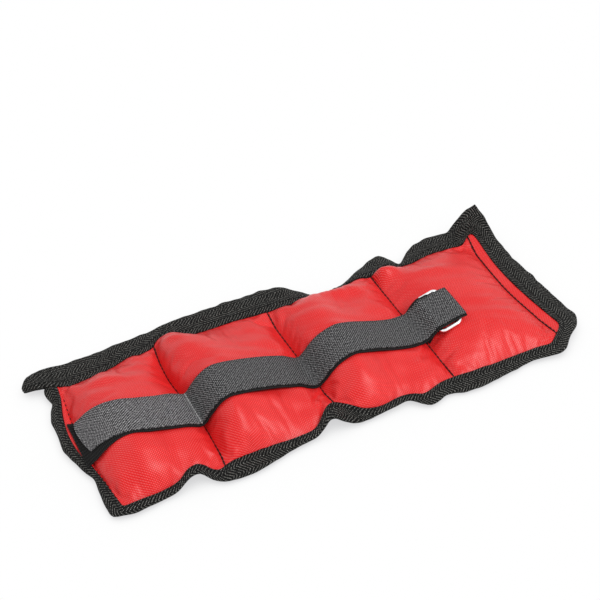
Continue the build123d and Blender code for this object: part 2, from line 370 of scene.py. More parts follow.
def coons(low, high, start, end):
    """The surface between four borders, as a (columns, rows, 3) grid."""
    s = np.linspace(0, 1, len(low))[:, None, None]
    t = np.linspace(0, 1, len(start))[None, :, None]
    across, along = between(low[:, None], high[:, None], t), between(start[None], end[None], s)
    corners = between(between(start[0], start[-1], t), between(end[0], end[-1], t), s)
    return across + along - corners


def side_rise(distance, run):
    """0 at the border, rising to 1 over run."""
    r = np.clip(distance / run, 0, 1)
    return (1 - (1 - r) ** 2.3) ** 0.85


def broad(profile):
    """The same crown with its crest spread out, as it is away from the strap."""
    reach = np.arange(-8, 9)
    weights = np.exp(-0.5 * (reach * COLUMN / 7.5) ** 2)
    spread = np.convolve(np.pad(profile, 8), weights / weights.sum(), "valid")
    spread *= 0.87 * profile.max() / spread.max()
    count = np.arange(len(profile))
    inside = ramp(np.minimum(count, count[::-1]) * COLUMN / 9)
    return between(profile, spread, inside)


def pocket_grids(k):
    """Top and bottom sheet of pocket k before its cloth settles."""
    low, high, start, end = pocket_border(k)
    base = coons(low, high, start, end)
    crown = CROWNS[k]
    x_line = crown[0, 0] + np.linspace(0, 1, len(base)) * (crown[-1, 0] - crown[0, 0])
    profile = np.interp(x_line, *smooth(crown, count=160).T) - HINGE_Z
    from_near = grid_run(base, 1)
    from_far = from_near[:, -1:] - from_near
    rise = side_rise(from_near, 27) * side_rise(from_far, 30)
    level = base[..., 2]
    away = ramp((np.abs(base[..., 1] - STRAP_Y) - 12) / 24)
    height = between(profile[:, None], broad(profile)[:, None], away)
    top = base.copy()
    top[..., 2] = level + (height + HINGE_Z - level).clip(0) * rise
    from_start = grid_run(base, 0)
    inset = np.minimum.reduce([from_near, from_far, from_start, from_start[-1:] - from_start])
    bottom = base.copy()
    bottom[..., 2] = np.maximum(level - inset, LINING_Z)
    lump = noise_at(base[..., 0] * 0.045, base[..., 1] * 0.045, k * 7.0)
    top[..., 2] += 1.6 * lump * rise * (profile[:, None] / profile.max())
    return top, bottom, inset


# ---- the filled pockets
def weave_run(grid):
    """Distance along the cloth from the middle column and row, for the weave's coordinates."""
    u, v = grid_run(grid, 0), grid_run(grid, 1)
    return np.stack([u - u[len(u) // 2], v - v[:, v.shape[1] // 2][:, None]], 2)


def pocket_mesh(k):
    """Closed mesh of pocket k: vertices, faces, which vertices are borders, their inset and weave
    coordinates, each vertex's pocket, and which length of the cover each face is in."""
    top, bottom, inset = pocket_grids(k)
    columns, rows = top.shape[:2]
    index = np.arange(columns * rows).reshape(columns, rows)
    inner = np.zeros((columns, rows), bool)
    inner[1:-1, 1:-1] = True
    under = index.copy()
    under[inner] = columns * rows + np.arange(inner.sum())
    verts = np.vstack([top.reshape(-1, 3), bottom[inner]])
    border = np.append(~inner, np.zeros(inner.sum(), bool))
    depth = np.append(inset, inset[inner])
    weave = weave_run(top)
    weave = np.vstack([weave.reshape(-1, 2), weave[inner]])
    faces = np.vstack([quads(index), quads(under)[:, ::-1]])
    past_middle = np.repeat(np.arange(columns - 1) >= (columns - 1) // 2, rows - 1)
    part = np.clip(k - 1 + past_middle, 0, 2)
    return verts, faces, border, depth, weave, np.full(len(verts), k), np.append(part, part)


def all_pockets():
    """The four pockets in one mesh, so that one simulation settles them together."""
    parts, offset = [], 0
    for k in range(4):
        verts, faces, *rest = pocket_mesh(k)
        parts.append((verts, faces + offset, *rest))
        offset += len(verts)
    return [np.concatenate(arrays) for arrays in zip(*parts)]


SIM_SCALE = 10.0  # the solver behaves best on metre-sized cloth
SIM_FRAMES = 26
SIM_MARGIN = 60  # ground round the cuff
SIM_GROUND = -0.6  # its height
CAP = 7.0  # furthest that a point may settle
GROWTH = 0.05  # spare cloth along the borders, which gathers into puckers
TAUT_STEPS = 20
CLOTH_SETTINGS = {
    "quality": 6, "mass": 0.25, "tension_stiffness": 30, "compression_stiffness": 30,
    "shear_stiffness": 12, "bending_stiffness": 0.3, "vertex_group_mass": "pin",
    "use_pressure": True, "uniform_pressure_force": 6.0, "vertex_group_shrink": "taut",
    "shrink_min": -GROWTH,
}


def settle(verts, faces, border, depth):
    """Blows the pockets up gently with Blender's cloth, held along their borders and seams."""
    obj = add_mesh("cloth_rig", verts * SIM_SCALE, faces)
    pin = obj.vertex_groups.new(name="pin")
    pin.add(np.flatnonzero(border).tolist(), 1.0, "REPLACE")
    taut = obj.vertex_groups.new(name="taut")
    for share in np.arange(TAUT_STEPS + 1) / TAUT_STEPS:
        here = np.abs(np.clip(depth / 26 - 0.15, 0, 1) - share) <= 0.5 / TAUT_STEPS
        taut.add(np.flatnonzero(here).tolist(), share, "REPLACE")
    low, high = (verts.min(0) - SIM_MARGIN) * SIM_SCALE, (verts.max(0) + SIM_MARGIN) * SIM_SCALE
    ground = plate("cloth_ground", low, high, SIM_GROUND * SIM_SCALE)
    ground.modifiers.new("Collision", "COLLISION")
    ground.collision.thickness_outer = 0.005
    cloth = obj.modifiers.new("Cloth", "CLOTH")
    for key, value in CLOTH_SETTINGS.items():
        setattr(cloth.settings, key, value)
    cloth.settings.effector_weights.gravity = 0.0
    cloth.collision_settings.distance_min = 0.003
    cloth.point_cache.frame_start, cloth.point_cache.frame_end = 1, SIM_FRAMES
    scene = bpy.context.scene
    for f in range(1, SIM_FRAMES + 1):
        scene.frame_set(f)
    moved = fetch(modified(obj).vertices, "co") / MM / SIM_SCALE
    scene.frame_set(1)
    for o in (obj, ground):
        bpy.data.objects.remove(o)
    shift = moved - verts
    return verts + shift * np.minimum(1, CAP / np.maximum(norm(shift)[:, None], 1e-6))


def sharpen(obj, flat):
    """Shades these faces flat, with sharp edges round them."""
    for i in flat:
        obj.data.polygons[i].use_smooth = False
    rim = {tuple(sorted(e)) for i in flat for e in obj.data.polygons[i].edge_keys}
    sharp = [tuple(sorted(e.vertices)) in rim for e in obj.data.edges]
    set_attribute(obj, "sharp_edge", "BOOLEAN", "EDGE", sharp)


def hem(name, start, end):
    """The flat strip of cloth between a closing seam and its binding."""
    middle = between(start[None], end[None], np.linspace(0, 1, 7)[:, None, None])
    half = np.array([0.1, 0.45, 0.5, 0.5, 0.5, 0.45, 0.3])[:, None]
    top, bottom = middle.copy(), middle.copy()
    top[..., 2] += half
    bottom[..., 2] = np.maximum(bottom[..., 2] - half, LOWEST)
    ids = np.arange(middle[..., 0].size).reshape(middle.shape[:2])
    rim = np.concatenate([ids[:, 0], ids[-1, 1:], ids[-2::-1, -1], ids[0, -2:0:-1]])
    after = np.roll(rim, -1)
    walls = np.stack([rim, rim + ids.size, after + ids.size, after], 1)
    verts = np.vstack([top.reshape(-1, 3), bottom.reshape(-1, 3)])
    faces = np.vstack([quads(ids), quads(ids + ids.size)[:, ::-1], walls])
    weave = weave_run(top).reshape(-1, 2)
    return add_mesh(name, verts, outward(verts, faces), np.vstack([weave, weave]))


def outward(verts, faces):
    """The same faces of a closed body, turned so that they face out."""
    volume = 0.0
    for f in faces:
        p = verts[list(f)] - verts[0]
        for a, b in zip(p[1:], p[2:]):
            volume += np.dot(p[0], np.cross(a, b))
    return [tuple(f)[::-1] for f in faces] if volume < 0 else [tuple(f) for f in faces]


def subdivided(obj):
    """Vertices in mm, faces, corner normals, weave and part of a mesh that is all quads now."""
    done = modified(obj)
    faces = fetch(done.loops, "vertex_index", 1, int).reshape(-1, 4)
    return (fetch(done.vertices, "co") / MM, faces, fetch(done.corner_normals, "vector"),
            fetch(done.attributes["weave"].data, "vector"),
            fetch(done.attributes["part"].data, "value", 1, int)[:, 0])


def cap_loops(faces):
    """Closed loops that would cap the open edges of these faces."""
    half = {(a, b) for f in faces for a, b in zip(f, f[1:] + f[:1])}
    follow = {b: a for a, b in half if (b, a) not in half}
    loops = []
    while follow:
        loop = [min(follow)]
        at = follow.pop(loop[0])
        while at != loop[0]:
            loop.append(at)
            at = follow.pop(at)
        loops.append(loop)
    return loops


def cut_piece(name, whole, number):
    """One length of the cover, closed at its cuts, shaded as the uncut cloth is."""
    verts, faces, normals, weave, part = whole
    used, kept = np.unique(faces[part == number], return_inverse=True)
    kept = [tuple(f) for f in kept.reshape(-1, 4).tolist()]
    shading = list(normals.reshape(-1, 4, 3)[part == number].reshape(-1, 3))
    points = verts[used]
    for loop in cap_loops(kept):
        p = points[loop]
        facing = unit(np.cross(p, np.roll(p, -1, 0)).sum(0))
        kept.append(tuple(loop))
        shading += [facing] * len(loop)
    obj = add_mesh(name, points, kept, weave[used])
    obj.data.normals_split_custom_set([tuple(n) for n in shading])
    return obj


def strap_line():
    """Underside of the strap by station: x, y and z in its middle, and the run along it."""
    line = smooth(STRAP_LINE, count=int(320 / STRAP_STEP))
    run = run_along(line)
    y = STRAP_Y + ROOT_SHIFT * (1 - ramp(run / ASKEW_RUN))
    return line[:, 0], y, line[:, 1], run


def wing(run):
    """How far the backing passes the strap's near edge, where it spreads to its sewn end."""
    return 6.0 * (1 - ramp((run - 7) / 27))


UNDER_STRAP = 0.45  # how far the cover stays under the strap's line, and under the ring
UNDER_RING = 0.5


def make_room(verts, pocket):
    """Presses the cover down under the strap, and the last pocket under the ring."""
    x, y, z = verts.T       # views, which follow the vertices
    line_x, line_y, line_z, run = strap_line()
    aside = y - np.interp(x, line_x, line_y)
    aside = np.maximum(aside, -aside - np.interp(x, line_x, wing(run)))
    beside = (aside - STRAP_WIDTH / 2).clip(0)
    limit = np.interp(x, line_x, line_z) - UNDER_STRAP + 0.25 * beside + 0.03 * beside ** 2
    under_strap = (x > line_x[0] + 3) & (x < line_x[-1])
    z[:] = np.where(under_strap, np.minimum(z, limit), z)
    low, high = box_mm("ring")
    under_start, under_end = low[2] - UNDER_RING, high[2] - RING_WIRE - UNDER_RING
    limit = under_start + (under_end - under_start) * (x - low[0]) / (high[0] - low[0])
    outside = np.maximum.reduce([low[0] - 5 - x, x - high[0] - 2,
                                 low[1] - 3 - y, y - high[1] - 3]).clip(0)
    limit = limit + 0.22 * outside + 0.02 * outside ** 2
    seam = pocket_border(3)[3]
    from_seam = (np.interp(y, seam[:, 1], seam[:, 0]) - x).clip(0)
    above_seam = 0.9 * from_seam + 0.02 * from_seam ** 2
    limit = np.minimum(limit, np.interp(y, seam[:, 1], seam[:, 2]) + above_seam)
    z[:] = np.where(pocket == 3, np.minimum(z, limit), z)
    return verts


def pucker(verts, depth, pocket):
    """Small creases in the cover, fanning out from the ends of the seams and the corners, and the
    corners of the pockets that stand up beside the far ends of the seams."""
    x, y, z = verts.T       # views, which follow the vertices
    share = ramp(depth / 5.0) * (z > HINGE_Z)
    rise = np.zeros(len(x))
    for i, (at_x, at_y, reach, ways, turn) in enumerate(PUCKERS):
        dx, dy = x - at_x, y - (NEAR if at_y > 0 else FAR) - at_y
        away = np.hypot(dx, dy)
        angle = np.arctan2(dy, dx)
        fade = ramp(away / 4) * np.exp(-(away / reach) ** 2)
        swing = ways * angle + turn + 0.25 * np.sin(away * 0.6 + i)
        rise += fade * np.sin(swing) * PUCKER_HEIGHT
    lines = noise_at(x * 0.05 + y * 0.16, y * 0.03 - x * 0.02, 9.0)
    rise = rise.clip(-PUCKER_HEIGHT, PUCKER_HEIGHT)
    z += share * (rise + 0.7 * lines)
    for number, at_x, at_y, wide, deep, height in EARS:
        bump = height * np.exp(-((x - at_x) / wide) ** 2 - ((y - FAR - at_y) / deep) ** 2)
        z += (pocket == number) * (z > HINGE_Z) * ramp(depth / 2.5) * bump
    return verts


def cover_pieces():
    """The cloth of the four pockets: its vertices and faces as a whole, and three lengths of it,
    each across one fold line."""
    verts, faces, border, depth, weave, pocket, part = all_pockets()
    verts = settle(verts, faces, border, depth)
    verts = make_room(pucker(verts, depth, pocket), pocket)
    rig = add_mesh("cover_rig", verts, faces, weave)
    set_attribute(rig, "part", "INT", "FACE", part)
    on_border = border[fetch(rig.data.edges, "vertices", 2, int)].all(1)
    set_attribute(rig, "crease_edge", "FLOAT", "EDGE", on_border.astype(np.float32))
    set_attribute(rig, "sharp_edge", "BOOLEAN", "EDGE", on_border)
    sub = rig.modifiers.new("subdivide", "SUBSURF")
    sub.levels = sub.render_levels = 1
    whole = subdivided(rig)
    bpy.data.objects.remove(rig)
    lengths = [cut_piece(f"cover_{n}", whole, i) for i, n in enumerate("abc")]
    return (whole[0].tolist(), whole[1].tolist()), lengths


# ---- swept bodies
def sweep(sections, coordinates):
    """A closed body through ring-shaped sections: vertices, faces, its two caps and its weave."""
    stations, around = sections.shape[:2]
    ids = np.arange(stations * around).reshape(stations, around)
    faces = [tuple(f) for f in quads(np.concatenate([ids, ids[:, :1]], 1))]
    caps = [len(faces), len(faces) + 1]
    faces += [tuple(ids[0]), tuple(ids[-1][::-1])]
    verts = sections.reshape(-1, 3)
    return verts, outward(verts, faces), caps, coordinates.reshape(stations * around, -1)


def swept(name, bodies):
    """One object from several swept bodies."""
    verts, faces, flat, weave = [], [], [], []
    for v, f, caps, w in bodies:
        offset, first = sum(len(p) for p in verts), len(faces)
        verts.append(v)
        faces += [tuple(i + offset for i in face) for face in f]
        flat += [first + c for c in caps]
        weave.append(w)
    obj = add_mesh(name, np.vstack(verts), faces, np.vstack(weave))
    sharpen(obj, flat)
    return obj


def pieces_between(values, cuts):
    """Runs of stations that stay within one span of cuts: (span number, first, last)."""
    span = np.searchsorted(cuts, values)
    edges = [0, *(np.flatnonzero(np.diff(span)) + 1), len(values) - 1]
    return [(int(span[a]), int(a), int(b)) for a, b in zip(edges, edges[1:])]


def height_on(tree, x, y):
    """Height of the topmost surface at this place, or -1 beside it."""
    hit = tree.ray_cast(Vector((x, y, 300.0)), Vector((0, 0, -1)))[0]
    return hit.z if hit else -1.0


# ---- the binding
TAPE_HALF = 1.25  # half the folded tape's thickness
TAPE_STEP = 1.5  # between its sections
TAPE_CLEAR = 0.35  # over the cloth
# Its loose end at the far left corner, by station: inner x, y and z, then outer x, y and z
TAPE_TAIL = table("""
    -144 45.8 5.4 -145.6 58.9 5.8  -149.2 47.2 5 -149.6 57.6 5.8  -152.2 46.2 4.8 -153 54.6 5.2
    -153.6 47 4.6 -154.3 51.6 4.8  -154.4 48 4.6 -154.7 50.4 4.7
""").reshape(-1, 2, 3)
# The raised far right corner, where it turns
TIP = table("137.8 47 9.2 147 57.8 22").reshape(-1, 2, 3)


def by_x(points, x):
    """Points of a smooth curve at these x."""
    return smooth(points, at=x)


def by_y(points, y):
    """Points of a smooth curve at these y."""
    line = smooth(points)
    line = read(y, line[:, 1], line)
    line[:, 1] = y
    return line


def fan(run, start, end, shift_start, shift_end, reach=15.0):
    """Positions for the outer edge: level with the inner edge, but spread out at both corners."""
    toward = 1 if end > start else -1
    return (run + shift_start * np.clip(1 - (run - start) * toward / reach, 0, 1) ** 1.5
            + shift_end * np.clip(1 - (end - run) * toward / reach, 0, 1) ** 1.5)


def stretch(place, inner, outer, start, end, count, *shifts):
    """Inner and outer edge of the binding along one side of the cuff. shifts are how far the
    outer edge's ends lie from the inner edge's, at its two corners."""
    run = np.linspace(start, end, count)
    return np.stack([place(inner, run), place(outer, fan(run, start, end, *shifts))], 1)


def binding_path():
    """Inner and outer edge of the binding: from the far left corner down the left end, along the
    near edge, up the right end and back along the far edge into the loose tail."""
    path = [stretch(by_y, LEFT_INNER, LEFT_OUTER, 47, -50.5, 66, 0, -4.5),
            stretch(by_x, NEAR_INNER, NEAR_OUTER, -134.5, 138.5, 190, -3, 8.5),
            stretch(by_y, RIGHT_INNER, RIGHT_OUTER, -44.5, 46, 62, -4.5, 7.5),
            TIP,
            stretch(by_x, FAR_INNER, FAR_OUTER, 136, -137, 190, 6, -7.5),
            TAPE_TAIL]
    tip = sum(len(p) for p in path[:3])
    path = np.vstack(path)
    sharp = path[tip, 1].copy()
    path = soften(soften(path))
    path[tip, 1] = sharp
    return even(path, int(run_along(path)[-1] / TAPE_STEP))


def tape_profile(width):
    """The folded tape's outline: distance from its inner edge, and side (1 is its top)."""
    turn = np.radians([90, 60, 30, 0, -30, -60, -90])
    bend = np.minimum(TAPE_HALF, 0.45 * width)
    flat = width - bend
    top = [(0.0, 0.75)] + [(f * flat, 1.0) for f in (0.04, 0.2, 0.4, 0.6, 0.8)]
    arc = [(flat + bend * cos(a), sin(a)) for a in turn]
    return np.array(top + arc + [(d, -s) for d, s in top[::-1]])


def tape_sections(path, tree):
    """Sections of the folded tape, rippled, over the cloth and clear of the ground."""
    inner, outer = path[:, 0], path[:, 1]
    across = unit(outer - inner)
    width = norm(outer - inner)
    tangent = unit(np.gradient(path.mean(1), axis=0))
    up = -unit(np.cross(tangent, across))
    along = np.arange(len(path)) * TAPE_STEP
    sections, marks = [], []
    for i in range(len(path)):
        profile = tape_profile(width[i])
        distance = profile[:, 0]
        lift = TAPE_HALF * profile[:, 1] + 0.8 * noise_at(along[i] / 8.0, distance / 8.0, 0.0)
        spread = 1 + 0.06 * noise_at(along[i] / 6.0, 5.0, 0.0)
        points = inner[i] + (distance * spread)[:, None] * across[i] + lift[:, None] * up[i]
        for p, side in zip(points, profile[:, 1]):
            if side > 0.5:
                p[2] = max(p[2], height_on(tree, p[0], p[1]) + TAPE_CLEAR)
            p[2] = max(p[2], LOWEST)
        around = run_along(profile * [1, TAPE_HALF])
        sections.append(points)
        marks.append(np.column_stack([np.full(len(around), along[i]), around]))
    return np.array(sections), np.array(marks)


def binding_pieces(tree):
    """The binding in three lengths, and the stitches that hold each."""
    path = binding_path()
    sections, marks = tape_sections(path, tree)
    bodies, rows = [[], [], []], [[], [], []]
    for span, first, last in pieces_between(path[:, 0, 0], MID_PANELS):
        bodies[span].append(sweep(sections[first:last + 1], marks[first:last + 1]))
        inner_row, outer_row = sections[first:last, 2], sections[first:last, 3]
        rows[span].append(0.55 * inner_row + 0.45 * outer_row + [0, 0, 0.12])
    return ([swept(f"binding_{n}", parts) for n, parts in zip("abc", bodies)],
            [stitches(f"binding_stitches_{n}", lines, thick=0.5) for n, lines in zip("abc", rows)])


# ---- stitching
THREAD_RINGS = [(-1.0, 0.35), (-0.8, 0.8), (-0.3, 1.0), (0.3, 1.0), (0.8, 0.8), (1.0, 0.35)]


def stitches(name, lines, pitch=3.0, length=3.2, thick=0.85, under=()):
    """Rows of separate stitches along lines, each dipping into the cloth at its ends. The rows in
    under lie on the cloth's lower side."""
    turn = np.arange(6)[:, None] * pi / 3
    bodies = []
    for line, facing in [(line, 1) for line in lines] + [(line, -1) for line in under]:
        middles = even(line, max(int(run_along(line)[-1] // pitch), 2))
        tangent = unit(np.gradient(middles, axis=0))
        side = unit(np.cross(tangent, [0, 0, 1.0]))
        up = np.cross(side, tangent)
        for p, t, s, u in zip(middles, tangent, side, up):
            around = np.cos(turn) * s + np.sin(turn) * u
            rings = np.array([p + t * a * length / 2 - facing * u * 0.35 * a * a
                              + around * r * thick / 2 for a, r in THREAD_RINGS])
            bodies.append(sweep(rings, np.tile(p[:2], (*rings.shape[:2], 1))))
    return swept(name, bodies)


# ---- the strap
def strap_frame(tree):
    """Underside of the strap by station: middle, direction across, up, and the run along it."""
    x, y, z, run = strap_line()
    askew = (y - STRAP_Y) / ROOT_SHIFT
    crest = np.argmax(z[:60])
    offsets = np.linspace(-0.5, 0.5, 9) * STRAP_WIDTH
    need = np.array([max(height_on(tree, a, b + w) for w in offsets) + STRAP_CLEAR - c
                     for a, b, c in zip(x, y, z)])
    need[:crest] = need[crest]
    need = np.clip(need, -1.5, 8)
    rise = need.copy()
    for _ in range(6):
        rise = np.maximum(soften(rise), need)
    rise[:crest] *= np.clip((z[:crest] - z[0]) / (z[crest] - z[0]), 0, 1)
    middle = np.column_stack([x, y, z + rise])
    tangent = unit(np.gradient(middle, axis=0) * [1, 0, 1])
    across = np.column_stack([0.09 * askew, np.ones(len(run)), np.zeros(len(run))])
    across = unit(across - tangent * (across * tangent).sum(1, keepdims=True))
    return middle, across, unit(np.cross(tangent, across)), run


def layer_sections(frame_of, low, high, inset, outset, lag):
    """Sections of one layer of the strap, between two heights over its underside. inset is how far
    it stays inside the strap's near edge, and outset how far it passes its far edge, by station.
    lag is how far its first end runs askew, from the far edge to the near edge, with its far
    corner rounded off."""
    middle, across, up, run = frame_of
    half = STRAP_WIDTH / 2
    w = np.linspace(-1, 1, 9) * (half - 0.12)
    profile = np.array([(x, high) for x in w] + [(half, (low + high) / 2)]
                       + [(x, low) for x in w[::-1]] + [(-half, (low + high) / 2)])
    w, height = profile.T
    near, far = (half - w) / STRAP_WIDTH, (half + w) / STRAP_WIDTH
    sides = w + near * inset[:, None] + far * outset[:, None]
    late = lag * (near ** 1.7 + 0.45 * far ** 6)
    at = run[:, None] + late[None, :] * (1 - ramp((run - FACE_FROM) / 30))[:, None]
    middle, across, up = (read(at, run, part) for part in (middle, across, up))
    sections = middle + sides[..., None] * across + height[:, None] * up
    ripple = noise_at(run[:, None] / 14.0, w / 11.0, 3.0)
    sections[..., 2] += 0.3 * ripple * ramp(run / 20)[:, None]
    # how much lighter the strap is before the first fold: partly its own colour, partly painted
    # light
    tone_and_light = 1 - ramp((run - run_at_first_fold(frame_of)) / 1.2 + 0.5)
    marks = np.stack(np.broadcast_arrays(run[:, None], w, tone_and_light[:, None]), 2)
    return sections, marks


def run_at_first_fold(frame_of):
    """Where along the strap it crosses the first fold line."""
    middle, run = frame_of[0], frame_of[3]
    return run[np.argmin(np.abs(middle[:, 0] - FOLDS[0]) + 1000 * (middle[:, 0] > FOLDS[1]))]


def strap_pieces(frame_of):
    """Backing webbing and face tape in four lengths: (layer, number, object) of each."""
    middle, _, _, run = frame_of
    made = []
    bare_edge = 0.3 + 0.8 * ramp((run - 10) / 30)
    x = middle[:, 0]
    slipped = (2.2 * ramp((x - 60) / 8) * (1 - ramp((x - 76) / 4))
               + ROOT_SPREAD * (1 - ramp((run - 1) / 5)))
    face_start = int(round(FACE_FROM / STRAP_STEP))
    lengths = pieces_between(np.maximum.accumulate(x), [STRAP_CUT, *MID_PANELS])
    for layer, low, start, inset, outset, lag in (
            ("back", 0.0, 0, -wing(run), slipped, 0.0),
            ("face", LAYER + 0.04, face_start, bare_edge, 0 * run, 5.0)):
        sections, marks = layer_sections(frame_of, low, low + LAYER, inset, outset, lag)
        for span, first, last in lengths:
            first = max(first, start)
            body = sweep(sections[first:last + 1], marks[first:last + 1])
            made.append((layer, span, swept(f"strap_{layer}_{'abcd'[span]}", [body])))
    return made


def strap_seam(frame_of):
    """The light stitches across the strap at the first fold."""
    middle, across, up, run = frame_of
    at = np.argmin(np.abs(run - run_at_first_fold(frame_of)))
    offsets = np.linspace(-0.46, 0.46, 40)[:, None] * STRAP_WIDTH
    line = middle[at] + offsets * across[at] + up[at] * (2 * LAYER + 0.3)
    return stitches("strap_seam", [line], pitch=1.6, length=1.3, thick=0.6)


# ---- the ring's tab
TAB_HALF = 10.5  # half its width
TAB_CLOTH = 0.8  # its thickness
TAB_GAP = 0.3  # between it and the wire
TAB_LINE = [(64.9, 5.4), (66.2, 8.6), (68.2, 11.9)]  # its foot: x, z


def ring_tab(tree):
    """Webbing from the fold line up round the ring's bar and back, in one loop."""
    wire = RING_WIRE / 2
    bar = box_mm("ring")[0][[0, 2]] + wire
    turn = np.radians(np.arange(-65, 171, 20)) - pi / 2.6
    loop = bar + (wire + TAB_GAP) * np.column_stack([np.cos(turn), np.sin(turn)])
    foot = np.array(TAB_LINE)
    need = [max(height_on(tree, x, STRAP_Y + w) for w in (-9, 0, 9)) + 0.5 for x in foot[:, 0]]
    foot[:, 1] = np.maximum(foot[:, 1], need)
    out_line = np.vstack([foot, loop, foot[::-1] + [-0.2, TAB_CLOTH + 0.25]])
    line = smooth(out_line, count=60)
    tangent = unit(np.gradient(line, axis=0))
    normal = np.column_stack([-tangent[:, 1], tangent[:, 0]])
    w = np.linspace(-TAB_HALF, TAB_HALF, 7)
    sections = [[(x, STRAP_Y + y, z) for (x, z), row in ((outer, w), (inner, w[::-1])) for y in row]
                for outer, inner in zip(line, line - normal * TAB_CLOTH)]
    marks = [[(i, y) for y in (*w, *w[::-1])] for i in range(len(line))]
    return swept("tab_webbing", [sweep(np.array(sections), np.array(marks))])


# ---- materials
def make(kind, inputs, tree=None, **settings):
    """A shader node: inputs are values, or sockets to link from, which also say in which tree."""
    tree = tree or next(v.id_data for v in inputs.values() if isinstance(v, bpy.types.NodeSocket))
    node = tree.nodes.new("ShaderNode" + kind)
    for key, value in settings.items():
        setattr(node, key, value)
    for key, value in inputs.items():
        if isinstance(value, bpy.types.NodeSocket):
            tree.links.new(value, node.inputs[key])
        else:
            node.inputs[key].default_value = value
    return node


def maths(operation, *values):
    return make("Math", dict(enumerate(values)), operation=operation).outputs[0]


def times(a, b):
    return maths("MULTIPLY", a, b)


def scaled(value, factor, base):
    return maths("MULTIPLY_ADD", value, factor, base)


def wave(value, pitch):
    """A sine of value, once per pitch, from 0 to 1."""
    return scaled(maths("SINE", times(value, 2 * pi / pitch)), 0.5, 0.5)


def step(value, low, high):
    """0 below low, 1 above high, and smooth between."""
    return make("MapRange", {"Value": value, "From Min": low, "From Max": high},
                interpolation_type="SMOOTHSTEP").outputs["Result"]


def mix(factor, a, b):
    """Colour between a and b, which are linear colours or sockets."""
    a, b = ((*c, 1.0) if isinstance(c, tuple) else c for c in (a, b))
    return make("Mix", {0: factor, 6: a, 7: b}, data_type="RGBA").outputs[2]


def grain(vector, scale, detail=2.0):
    return make("TexNoise", {"Vector": vector, "Scale": scale, "Detail": detail}).outputs[0]


def new_material(name):
    material = bpy.data.materials.new(name)
    material.use_nodes = True
    material.node_tree.nodes.clear()
    return material


def cloth_material(name):
    """A material, with the cloth's own coordinates and the three numbers in them."""
    material = new_material(name)
    at = make("Attribute", {}, material.node_tree, attribute_name="weave").outputs["Vector"]
    return material, at, *make("SeparateXYZ", {0: at}).outputs


def finish_surface(material, colour, rough, height, bump_mm, specular=0.5, metallic=0.0):
    """The material with its shader, and height as a relief bump_mm deep."""
    bump = make("Bump", {"Height": height, "Strength": 0.9, "Distance": bump_mm * MM})
    shader = make("BsdfPrincipled", {
        "Base Color": colour, "Roughness": rough, "Normal": bump.outputs[0],
        "Specular IOR Level": specular, "Metallic": metallic})
    make("OutputMaterial", {"Surface": shader.outputs[0]})
    return material


NYLON_PITCH = 0.68  # one pair of threads


def red_nylon():
    """Oxford nylon: a fine basket weave, with painted shade in the gaps between its threads and
    painted pink highlights on their crests.
    """
    material, at, u, v, _ = cloth_material("red_nylon")
    warp = maths("SINE", times(u, pi / NYLON_PITCH))
    weft = maths("SINE", times(v, pi / NYLON_PITCH))
    side = step(times(warp, weft), -0.35, 0.35)
    warp, weft = maths("ABSOLUTE", warp), maths("ABSOLUTE", weft)
    height = maths("ADD", times(side, warp), times(maths("SUBTRACT", 1.0, side), weft))
    # painted shade: the weave's gaps are coloured darker than its thread tops
    threads = mix(height, (0.29, 0.000, 0.001), (1.0, 0.002, 0.004))
    # painted highlight: the crests of the threads are coloured pink, as if they caught the light
    crest = times(step(height, 0.5, 1.0), side)
    threads = mix(crest, threads, (1.0, 0.155, 0.15))
    # random patches of deeper pure red, where the painted highlights give way
    patch = step(grain(at, 0.035, 3.0), 0.35, 0.68)
    colour = mix(times(patch, 0.38), threads, (0.68, 0.0, 0.002))
    rough = scaled(grain(at, 0.5), 0.14, 0.25)
    return finish_surface(material, colour, rough, height, 0.05, 0.3)


def black_binding():
    """Herringbone twill tape, with painted glints along its ribs as small light dots."""
    material, at, u, v, _ = cloth_material("black_binding")
    wander = grain(at, 0.3)
    zig = maths("PINGPONG", maths("ADD", v, wander), 4.4)
    along = maths("ADD", u, wander)
    ribs = wave(maths("ADD", along, zig), 1.95)
    picks = wave(maths("SUBTRACT", along, zig), 1.05)
    fuzz = grain(at, 1.7, 3.0)
    # painted glints: light dots on the tops of the ribs, as if they caught the light
    painted_glint = times(times(step(ribs, 0.55, 0.95), step(picks, 0.35, 0.9)), step(fuzz, 0.36, 0.62))
    ground = mix(ribs, (0.001, 0.001, 0.001), (0.009, 0.009, 0.0085))
    colour = mix(painted_glint, ground, (0.36, 0.355, 0.33))
    height = scaled(fuzz, 0.35, scaled(picks, 0.3, ribs))
    return finish_surface(material, colour, scaled(fuzz, 0.25, 0.45), height, 0.35, 0.1)


LOOP_PITCH = 1.5  # one row of loops


def strap_face():
    """Loop tape: a napped lattice, lighter before the first fold than after it, partly its own
    colour and partly painted light on that first length.
    """
    material, at, u, v, tone_and_light = cloth_material("grey_loop_tape")
    lattice = times(wave(maths("ADD", u, v), LOOP_PITCH),
                    wave(maths("SUBTRACT", u, v), LOOP_PITCH))
    nap = grain(at, 1.1, 4.0)
    tuft = step(scaled(lattice, 0.5, nap), 0.48, 0.98)
    dark = mix(tuft, (0.008, 0.008, 0.009), (0.36, 0.357, 0.362))
    pale = mix(tuft, (0.018, 0.017, 0.019), (0.52, 0.51, 0.52))
    # the lighter copy before the first fold is partly painted light
    colour = mix(tone_and_light, dark, pale)
    return finish_surface(material, colour, scaled(nap, 0.2, 0.65), tuft, 0.25, 0.08)


def webbing():
    """Plain black webbing with ribs across it."""
    material, at, u, v, _ = cloth_material("black_webbing")
    ribs, ends = wave(u, 1.1), wave(v, 1.6)
    colour = mix(times(ribs, ends), (0.006, 0.006, 0.006), (0.030, 0.030, 0.030))
    rough = scaled(grain(at, 1.2), 0.2, 0.5)
    return finish_surface(material, colour, rough, scaled(ends, 0.4, ribs), 0.2, 0.08)


def on_object(name):
    """A material, with the object's own coordinates."""
    material = new_material(name)
    return material, make("TexCoord", {}, material.node_tree).outputs["Object"]


